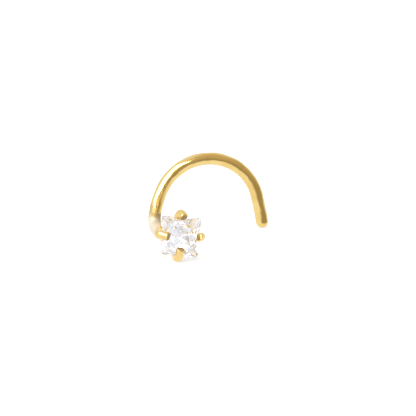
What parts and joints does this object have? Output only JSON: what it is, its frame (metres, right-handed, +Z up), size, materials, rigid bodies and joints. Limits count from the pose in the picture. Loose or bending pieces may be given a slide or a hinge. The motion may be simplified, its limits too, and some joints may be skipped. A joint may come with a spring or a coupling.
{
  "type": "tragus stud",
  "caption": "Tragus stud with a lobed clear stone held by wire prongs, on a round gold wire that turns at an elbow into an open curled hook.",
  "frame": {"origin": "bottom centre of the bounding box, on the surface that the stud rests on", "axes": "+Z up from that surface, +X to the right along the hook, +Y back from the stone to the hook, so the stone's table faces -Y and a little up"},
  "size_m": [0.009, 0.009, 0.005],
  "materials": {
    "gold": "polished yellow gold",
    "crystal": "clear cut stone"
  },
  "bodies": {
    "root": {"hook_and_setting": "gold", "star_stone": "crystal"}
  },
  "joints": []
}
